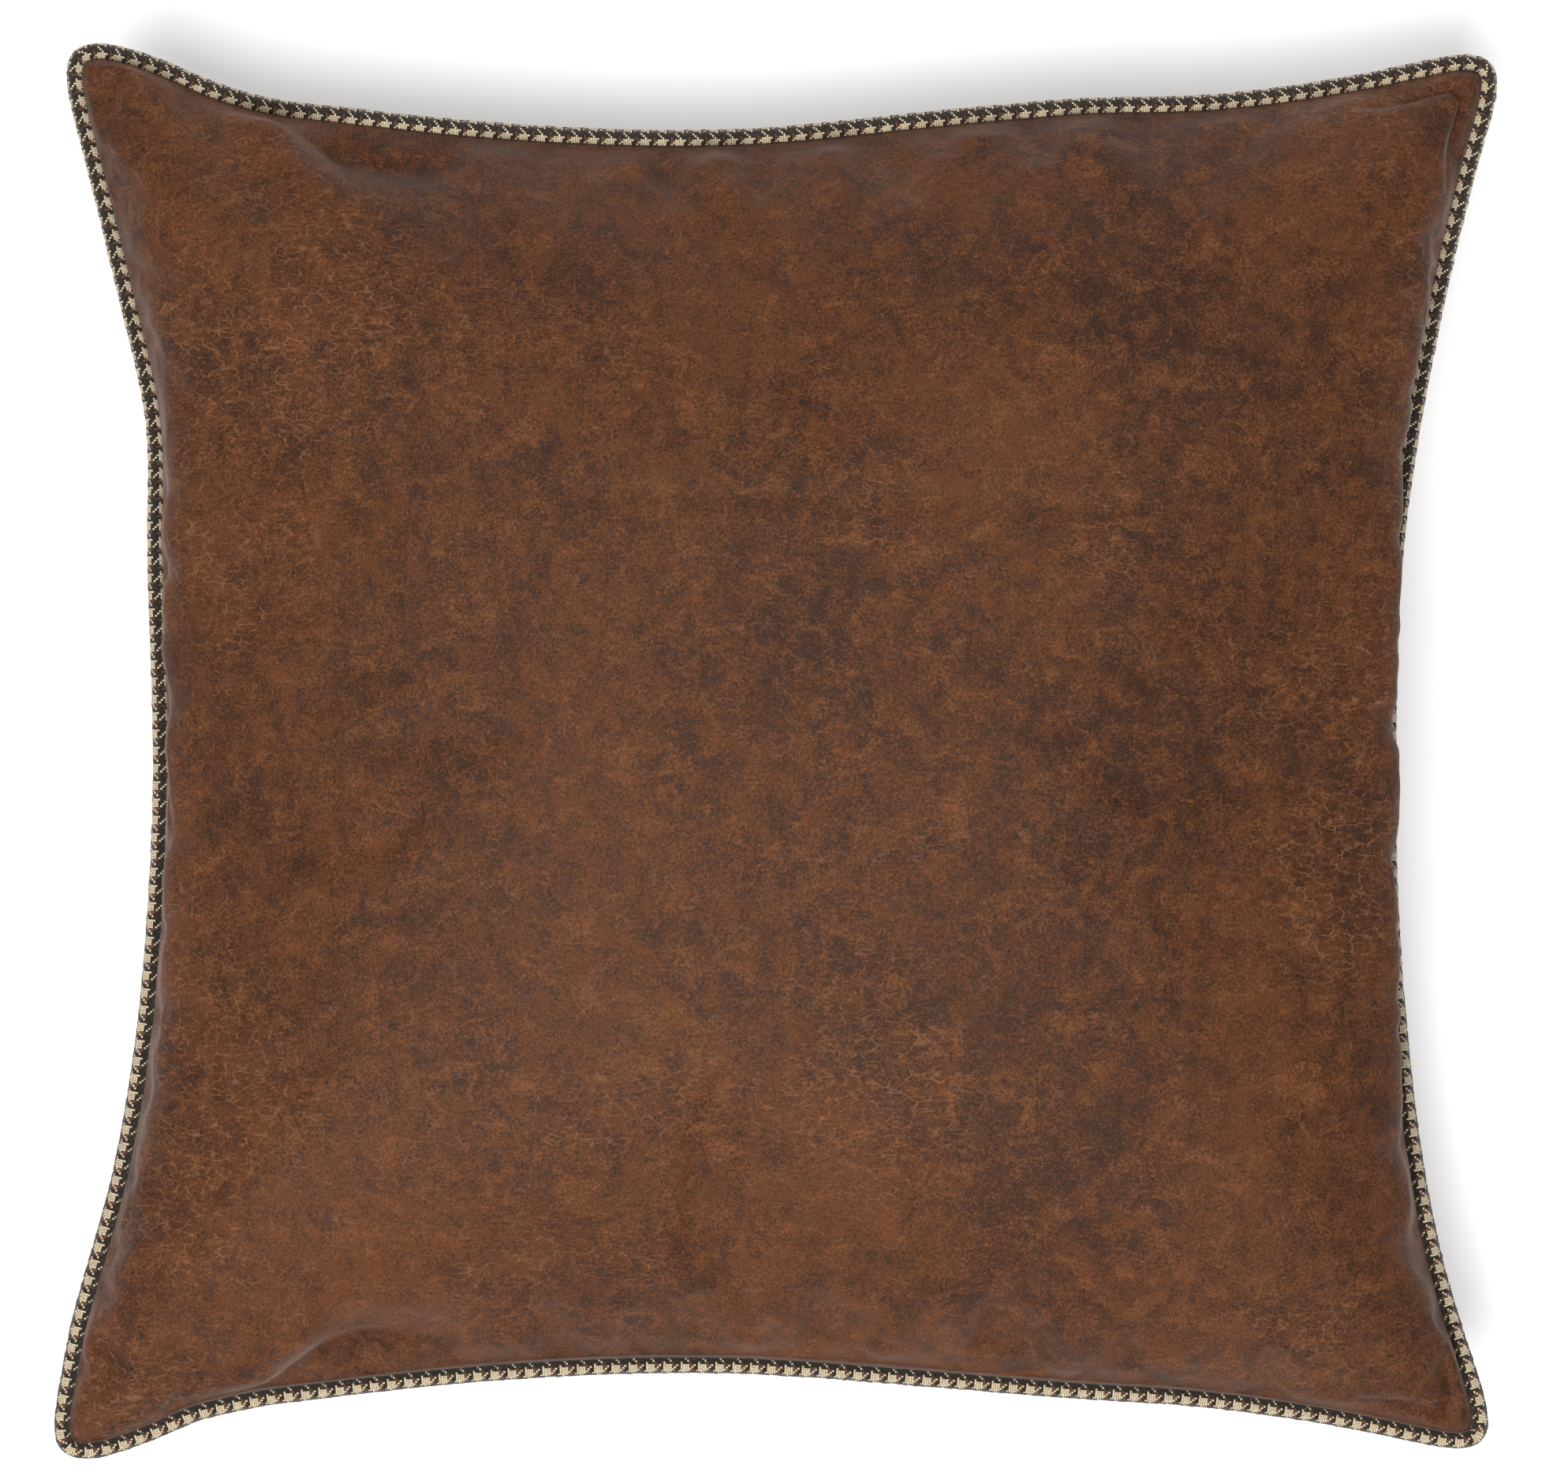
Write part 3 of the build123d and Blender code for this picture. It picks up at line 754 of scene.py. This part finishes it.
def label(name, places, width):
    """A blank label from the points of its middle line, which run across the seam, and its width along Y."""
    half = np.array([0, width / 2, 0])
    return band(name, places - half, places + half, label_thickness, closed=False)


def label_line(side_x, y, drop, curl):
    """Points from the seam allowance inwards and down, bending softly."""
    count = 14
    t = np.linspace(0, 1, count)
    x = side_x * (1 - label_reach * t)
    return np.column_stack([x, np.full(count, y), seam_height - drop * t - curl * np.sin(3 * t)])


label_thickness = 0.25 * MM
# How far in a label reaches, as a share of its distance from the pillow's middle
label_reach = 0.055
care_line = label_line(side_x=-200.5 * MM, y=-95 * MM, drop=5 * MM, curl=1 * MM)
insert_line = label_line(side_x=199.5 * MM, y=80 * MM, drop=-5 * MM, curl=-1 * MM)
care_label = label("care_label_blank", care_line, width=30 * MM)
insert_label = label("insert_label_blank", insert_line, width=40 * MM)

# ---- materials ----


class Paint:
    """A material's node tree, with short ways to add nodes."""

    def __init__(self, name):
        self.material = bpy.data.materials.new(name)
        self.material.use_nodes = True
        self.nodes = self.material.node_tree.nodes
        self.links = self.material.node_tree.links
        self.surface = self.nodes["Principled BSDF"]

    def plug(self, socket, value):
        if isinstance(value, bpy.types.NodeSocket):
            self.links.new(value, socket)
        else:
            socket.default_value = value

    def set(self, **values):
        for name, value in values.items():
            self.plug(self.surface.inputs[name.replace("_", " ")], value)

    def node(self, kind, **fields):
        node = self.nodes.new(kind)
        for name, value in fields.items():
            setattr(node, name, value)
        return node

    def coordinates(self, kind="Object", scale=(1, 1, 1), turn=(0, 0, 0), shift=(0, 0, 0)):
        mapping = self.node("ShaderNodeMapping")
        self.links.new(self.node("ShaderNodeTexCoord").outputs[kind], mapping.inputs["Vector"])
        mapping.inputs["Scale"].default_value = scale
        mapping.inputs["Rotation"].default_value = turn
        mapping.inputs["Location"].default_value = shift
        return mapping.outputs["Vector"]

    def noise(self, where, scale, detail=4.0, rough=0.55, distortion=0.0):
        node = self.node("ShaderNodeTexNoise")
        self.plug(node.inputs["Vector"], where)
        for name, value in (("Scale", scale), ("Detail", detail), ("Roughness", rough), ("Distortion", distortion)):
            node.inputs[name].default_value = value
        return node.outputs["Fac"]

    def cracks(self, where, scale, width=1.0):
        node = self.node("ShaderNodeTexVoronoi", feature="DISTANCE_TO_EDGE")
        self.plug(node.inputs["Vector"], where)
        node.inputs["Scale"].default_value = scale
        return self.ramp(node.outputs["Distance"], 0.0, 0.06 * width, 1.0, 0.0)

    def math(self, operation, a, b=0.0, c=0.0):
        node = self.node("ShaderNodeMath", operation=operation)
        for socket, value in zip(node.inputs, (a, b, c)):
            self.plug(socket, value)
        return node.outputs["Value"]

    def ramp(self, value, low, high, to_low=0.0, to_high=1.0, smooth=True):
        node = self.node("ShaderNodeMapRange", interpolation_type="SMOOTHSTEP" if smooth else "LINEAR")
        self.plug(node.inputs["Value"], value)
        for name, amount in (("From Min", low), ("From Max", high), ("To Min", to_low), ("To Max", to_high)):
            node.inputs[name].default_value = amount
        return node.outputs["Result"]

    def mix(self, share, a, b, blend="MIX"):
        node = self.node("ShaderNodeMix", data_type="RGBA", blend_type=blend)
        self.plug(node.inputs[0], share)
        for socket, value in ((node.inputs[6], a), (node.inputs[7], b)):
            self.plug(socket, (*value, 1.0) if isinstance(value, tuple) else value)
        return node.outputs[2]

    def bump(self, height, distance, strength=1.0, normal=None):
        node = self.node("ShaderNodeBump")
        self.plug(node.inputs["Height"], height)
        node.inputs["Distance"].default_value = distance
        node.inputs["Strength"].default_value = strength
        if normal is not None:
            self.links.new(normal, node.inputs["Normal"])
        return node.outputs["Normal"]

    def put_on(self, *pieces):
        for piece in pieces:
            piece.data.materials.clear()
            piece.data.materials.append(self.material)


def leather():
    """Brown distressed leather-look cloth: mottled, warm wisps, a fine nap, tan crackle where it has been bent."""
    p = Paint("distressed_leather")
    where = p.coordinates()
    long_way = p.coordinates(scale=(1.25, 1.0, 1.0), turn=(0, 0, 0.5))
    cloud = p.noise(where, 11, 3, 0.5)
    mottle = p.noise(long_way, 95, 9, 0.72, 0.5)
    wisp = p.noise(p.coordinates(scale=(1.0, 1.35, 1.0), turn=(0, 0, -0.6), shift=(3, 1, 2)), 80, 9, 0.74, 1.1)
    nap = p.noise(where, 1100, 4, 0.8)
    fine = p.noise(where, 2600, 2, 0.6)
    blotch = p.math("ADD", p.math("MULTIPLY", mottle, 0.75), p.math("MULTIPLY", cloud, 0.4))
    blotch = p.math("ADD", blotch, p.math("MULTIPLY", nap, 0.55))
    dark_share = p.ramp(blotch, 0.68, 0.98, 1.0, 0.0)
    colour = p.mix(dark_share, (0.093, 0.0305, 0.0096), (0.032, 0.012, 0.0056))
    warm = p.ramp(p.math("ADD", wisp, p.math("MULTIPLY", nap, 0.5)), 0.72, 0.98)
    colour = p.mix(p.math("MULTIPLY", warm, 0.7), colour, (0.158, 0.0555, 0.0178))
    bent = p.ramp(p.noise(p.coordinates(shift=(0.7, 0.2, 0)), 7, 4, 0.6), 0.48, 0.64)
    creases = p.cracks(p.coordinates(scale=(1.0, 2.4, 1.0), turn=(0, 0, 0.3)), 150, 1.6)
    creases = p.math("MULTIPLY", creases, p.ramp(p.noise(where, 260, 4, 0.65), 0.42, 0.6))
    creases = p.math("MULTIPLY", creases, bent)
    colour = p.mix(p.math("MULTIPLY", creases, 0.62), colour, (0.21, 0.086, 0.037))
    speckle = p.ramp(nap, 0.32, 0.68, 0.62, 1.38, False)
    grey = p.node("ShaderNodeCombineColor")
    for socket in grey.inputs[:3]:
        p.plug(socket, speckle)
    colour = p.mix(1.0, colour, grey.outputs["Color"], "MULTIPLY")
    p.set(Base_Color=colour, Roughness=p.ramp(mottle, 0.3, 0.7, 0.6, 0.72, False))
    p.surface.inputs["Specular IOR Level"].default_value = 0.18
    p.surface.inputs["Sheen Weight"].default_value = 0.16
    p.surface.inputs["Sheen Roughness"].default_value = 0.24
    p.surface.inputs["Sheen Tint"].default_value = (0.82, 0.66, 0.62, 1)
    height = p.math("ADD", p.math("MULTIPLY", nap, 0.7), p.math("MULTIPLY", fine, 0.3))
    height = p.math("SUBTRACT", height, p.math("MULTIPLY", creases, 0.5))
    first = p.bump(p.noise(long_way, 160, 4, 0.6), 0.5 * MM, 0.35)
    p.set(Normal=p.bump(height, 0.22 * MM, 0.6, first))
    return p


def dogtooth():
    """Dogtooth check woven two over, two under, from cream, black and brown yarn."""
    p = Paint("dogtooth_tweed")
    where = p.node("ShaderNodeSeparateXYZ")
    p.links.new(p.node("ShaderNodeTexCoord").outputs["UV"], where.inputs["Vector"])
    wander = p.noise(p.coordinates(), 500, 2, 0.5)
    wander = p.math("MULTIPLY", p.math("SUBTRACT", wander, 0.5), 0.25)
    warp_at = p.math("ADD", p.math("DIVIDE", where.outputs["X"], thread_along), wander)
    height = p.node("ShaderNodeSeparateXYZ")
    p.links.new(p.coordinates(), height.inputs["Vector"])
    twist = p.ramp(height.outputs["Y"], -twist_reach, twist_reach, 0.0, band_threads / 2, False)
    weft_at = p.math("ADD", p.math("ADD", p.math("DIVIDE", where.outputs["Y"], thread_round), twist), wander)
    warp, weft = p.math("FLOOR", warp_at), p.math("FLOOR", weft_at)
    half = band_threads / 2
    warp_place = p.math("FLOORED_MODULO", warp, band_threads)
    weft_place = p.math("FLOORED_MODULO", weft, band_threads)
    light_warp = p.math("LESS_THAN", warp_place, half)
    light_weft = p.math("LESS_THAN", weft_place, half)
    brown_warp = p.math("LESS_THAN", warp_place, half * 1.5)
    zigzag = p.math("ABSOLUTE", p.math("SUBTRACT", weft_place, half))
    reach = p.math("ADD", 1.0, p.math("MULTIPLY", light_weft, 2.0))
    over = p.math("LESS_THAN", p.math("FLOORED_MODULO", p.math("ADD", warp, zigzag), twill_repeat), reach)
    cream, black, brown = (0.6, 0.49, 0.33), (0.024, 0.0165, 0.0105), (0.12, 0.052, 0.028)
    dark_warp = p.mix(brown_warp, black, brown)
    colour = p.mix(over, p.mix(light_weft, black, cream), p.mix(light_warp, dark_warp, cream))
    yarn = p.noise(p.coordinates(), 1800, 3, 0.6)
    shade = p.node("ShaderNodeCombineColor")
    for socket in shade.inputs[:3]:
        p.plug(socket, p.ramp(yarn, 0.3, 0.7, 0.6, 1.35, False))
    colour = p.mix(1.0, colour, shade.outputs["Color"], "MULTIPLY")
    fray = p.ramp(p.noise(p.coordinates(), 900, 2, 0.5), 0.6, 0.75)
    colour = p.mix(p.math("MULTIPLY", fray, 0.35), colour, (0.3, 0.21, 0.14))
    warp_round = p.math("ABSOLUTE", p.math("SINE", p.math("MULTIPLY", warp_at, math.pi)))
    weft_round = p.math("ABSOLUTE", p.math("SINE", p.math("MULTIPLY", weft_at, math.pi)))
    lift = p.math("ADD", p.math("MULTIPLY", over, warp_round),
                  p.math("MULTIPLY", p.math("SUBTRACT", 1.0, over), weft_round))
    # Painted shade: the colour is darkened, down to about a quarter, where each thread dips under its neighbour, in the
    # gaps between the threads
    painted_thread_shade = p.node("ShaderNodeCombineColor")
    for socket in painted_thread_shade.inputs[:3]:
        p.plug(socket, p.ramp(lift, 0.05, 0.8, 0.28, 1.0))
    colour = p.mix(1.0, colour, painted_thread_shade.outputs["Color"], "MULTIPLY")
    height = p.math("ADD", lift, p.math("MULTIPLY", yarn, 0.5))
    p.set(Base_Color=colour, Roughness=0.9, Normal=p.bump(height, 0.25 * MM, 0.8))
    p.surface.inputs["Sheen Weight"].default_value = 0.25
    p.surface.inputs["Sheen Roughness"].default_value = 0.5
    p.surface.inputs["Specular IOR Level"].default_value = 0.2
    return p


def woven(name, colour, other, threads_per_mm, rough=0.85, sheen=0.2, depth=0.12):
    """A plain woven cloth from two close colours."""
    p = Paint(name)
    scale = threads_per_mm / MM
    where = p.node("ShaderNodeSeparateXYZ")
    p.links.new(p.coordinates(), where.inputs["Vector"])
    weave = None
    for axis, other_axis in (("X", "Y"), ("Y", "Z"), ("Z", "X")):
        line = p.math("SINE", p.math("MULTIPLY", where.outputs[axis], scale * math.pi))
        cross = p.math("SINE", p.math("MULTIPLY", where.outputs[other_axis], scale * math.pi))
        product = p.math("MULTIPLY", line, cross)
        weave = product if weave is None else p.math("ADD", weave, product)
    yarn = p.noise(p.coordinates(), scale * 1.3, 3, 0.6)
    share = p.ramp(p.math("ADD", p.math("MULTIPLY", weave, 0.3), yarn), 0.2, 0.9)
    tone = p.mix(p.noise(p.coordinates(), 30, 3, 0.5), colour, tuple(0.82 * c for c in colour))
    p.set(Base_Color=p.mix(share, other, tone), Roughness=rough)
    p.set(Normal=p.bump(p.math("ADD", weave, yarn), depth * MM, 0.6))
    p.surface.inputs["Sheen Weight"].default_value = sheen
    p.surface.inputs["Specular IOR Level"].default_value = 0.25
    return p


def twisted(name, colour, other):
    """Thread: fine slanted strands."""
    p = Paint(name)
    strands = p.noise(p.coordinates(scale=(1.0, 1.0, 3.0), turn=(0.6, 0.4, 0.7)), 2400, 2, 0.5)
    p.set(Base_Color=p.mix(p.ramp(strands, 0.35, 0.65), other, colour), Roughness=0.6)
    p.set(Normal=p.bump(strands, 0.06 * MM, 0.7))
    p.surface.inputs["Sheen Weight"].default_value = 0.15
    return p


def nylon():
    """Dyed nylon wire: smooth, with a slight drawn grain."""
    p = Paint("zipper_nylon_wire")
    grain = p.noise(p.coordinates(scale=(0.3, 1, 1)), 2500, 3, 0.5)
    p.set(Base_Color=p.mix(grain, (0.06, 0.032, 0.019), (0.1, 0.055, 0.034)))
    p.set(Roughness=p.ramp(grain, 0.3, 0.7, 0.3, 0.42, False), Normal=p.bump(grain, 0.02 * MM, 0.4))
    return p


def aged_brass():
    """Antique brass: darker and brighter in random patches of tarnish, with fine scratches."""
    p = Paint("antique_brass")
    tarnish = p.noise(p.coordinates(), 800, 5, 0.6)
    scratches = p.noise(p.coordinates(scale=(1, 9, 1), turn=(0, 0, 0.3)), 900, 3, 0.6)
    colour = p.mix(p.ramp(tarnish, 0.3, 0.75), (0.2, 0.135, 0.075), (0.4, 0.28, 0.15))
    rough = p.math("ADD", p.ramp(tarnish, 0.3, 0.7, 0.46, 0.28, False), p.math("MULTIPLY", scratches, 0.12))
    p.set(Base_Color=colour, Roughness=rough, Normal=p.bump(scratches, 0.02 * MM, 0.35))
    p.surface.inputs["Metallic"].default_value = 1.0
    return p


leather_look, tweed_look = leather(), dogtooth()
cord_look = woven("cotton_cord_yarn", (0.72, 0.67, 0.57), (0.5, 0.45, 0.36), 1.4)
brown_thread_look = twisted("brown_sewing_thread", (0.15, 0.075, 0.042), (0.06, 0.028, 0.016))
white_thread_look = twisted("white_sewing_thread", (0.85, 0.84, 0.8), (0.6, 0.58, 0.54))
tape_look = woven("zipper_tape_weave", (0.1, 0.055, 0.036), (0.045, 0.024, 0.016), 2.2)
satin_look = woven("label_satin_weave", (0.82, 0.81, 0.78), (0.66, 0.65, 0.62), 5.0, 0.4, 0.3, 0.03)
cotton_look = woven("insert_cotton_weave", (0.84, 0.83, 0.79), (0.66, 0.65, 0.6), 2.6)
fibre_look = woven("polyester_fibre", (0.9, 0.9, 0.89), (0.75, 0.75, 0.74), 0.9, 0.8, 0.5, 0.4)
nylon_look, brass_look = nylon(), aged_brass()

# ---- what each piece is, rides on and stands for ----

finished = (
    (cover_front, leather_look, "panel_cloth", ("front_panel",)),
    (cover_back, leather_look, "panel_cloth", ("back_panel",)),
    (mouth_hem, leather_look, "panel_cloth", ("back_panel",)),
    (mouth_facing, leather_look, "panel_cloth", ("back_panel",)),
    (piping, tweed_look, "piping_tweed", ("piping_cover",)),
    (piping_legs, tweed_look, "piping_tweed", ("piping_cover",)),
    (piping_cord, cord_look, "cotton_cord", ("piping_cord",)),
    (seam_stitches, brown_thread_look, "brown_thread", ("cover_seam_stitching",)),
    (zip_stitches, brown_thread_look, "brown_thread", ("zipper_stitching",)),
    (coil_front, nylon_look, "zipper_nylon", ("zipper_coil_front",)),
    (coil_back, nylon_look, "zipper_nylon", ("zipper_coil_back",)),
    (insert, cotton_look, "insert_cotton", ("insert_front", "insert_back")),
    (insert_stitches, white_thread_look, "white_thread", ("insert_seam_stitching",)),
    (closing_stitches, white_thread_look, "white_thread", ("insert_closing_stitches",)),
    (filling, fibre_look, "fibre", ("fill",)),
    (care_label, satin_look, "label_satin", ("care_label",)),
    (insert_label, satin_look, "label_satin", ("insert_label",)),
)
for piece, look, slot, stands_for in finished:
    look.put_on(piece)
    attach(piece, "pillow")
    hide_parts(*stands_for)

tape_look.put_on(nodes["zipper_tape_front"], nodes["zipper_tape_back"])
brass_look.put_on(
    nodes["zipper_slider"], nodes["zipper_pull_tab"], nodes["zipper_top_stops"], nodes["zipper_bottom_stop"]
)

# ---- floor, light and camera ----


def floor_look():
    """A plain pale studio floor."""
    p = Paint("studio_floor")
    p.set(Base_Color=p.mix(p.noise(p.coordinates(), 3, 2, 0.5), (0.9, 0.9, 0.9), (0.88, 0.88, 0.88)), Roughness=0.9)
    p.surface.inputs["Specular IOR Level"].default_value = 0.1
    p.surface.inputs["Emission Color"].default_value = (1, 1, 1, 1)
    p.surface.inputs["Emission Strength"].default_value = 0.28
    return p


floor = new_piece("floor", [(-6, -6, 0), (6, -6, 0), (6, 6, 0), (-6, 6, 0)], [(0, 1, 2, 3)], smooth=False)
floor.location.z = -0.5 * MM
floor_look().put_on(floor)


def area_light(name, place, aim, width, height, power, colour=(1, 1, 1)):
    """A softbox that faces a point."""
    data = bpy.data.lights.new(name, "AREA")
    data.shape = "RECTANGLE"
    data.size, data.size_y = width, height
    data.energy = power
    data.color = colour
    light = bpy.data.objects.new(name, data)
    light.location = place
    light.rotation_euler = (Vector(aim) - Vector(place)).to_track_quat("-Z", "Y").to_euler()
    bpy.context.scene.collection.objects.link(light)


area_light("overhead", (-0.4, -0.9, 3.1), (0, 0, 0.1), 1.7, 1.7, 124)
area_light("far_strip", (0.1, 2.0, 0.75), (0, 0.15, 0.1), 1.8, 0.4, 12, (0.95, 0.97, 1.0))
area_light("near_strip", (0.1, -2.0, 0.75), (0, -0.15, 0.1), 1.8, 0.4, 4.5, (0.95, 0.97, 1.0))

world = bpy.data.worlds.new("studio")
bpy.context.scene.world = world
world.use_nodes = True
world.node_tree.nodes["Background"].inputs["Color"].default_value = (1, 1, 1, 1)
world.node_tree.nodes["Background"].inputs["Strength"].default_value = 0.3
bpy.context.scene.view_settings.view_transform = "Standard"

camera_height = 2.5
view_width = 550.7 * MM
camera_data = bpy.data.cameras.new("camera")
camera_data.sensor_width = 36
camera_data.lens = 36 * (camera_height - seam_height) / view_width
camera = bpy.data.objects.new("camera", camera_data)
camera.location = (2.5 * MM, 4.0 * MM, camera_height)
bpy.context.scene.collection.objects.link(camera)
bpy.context.scene.camera = camera
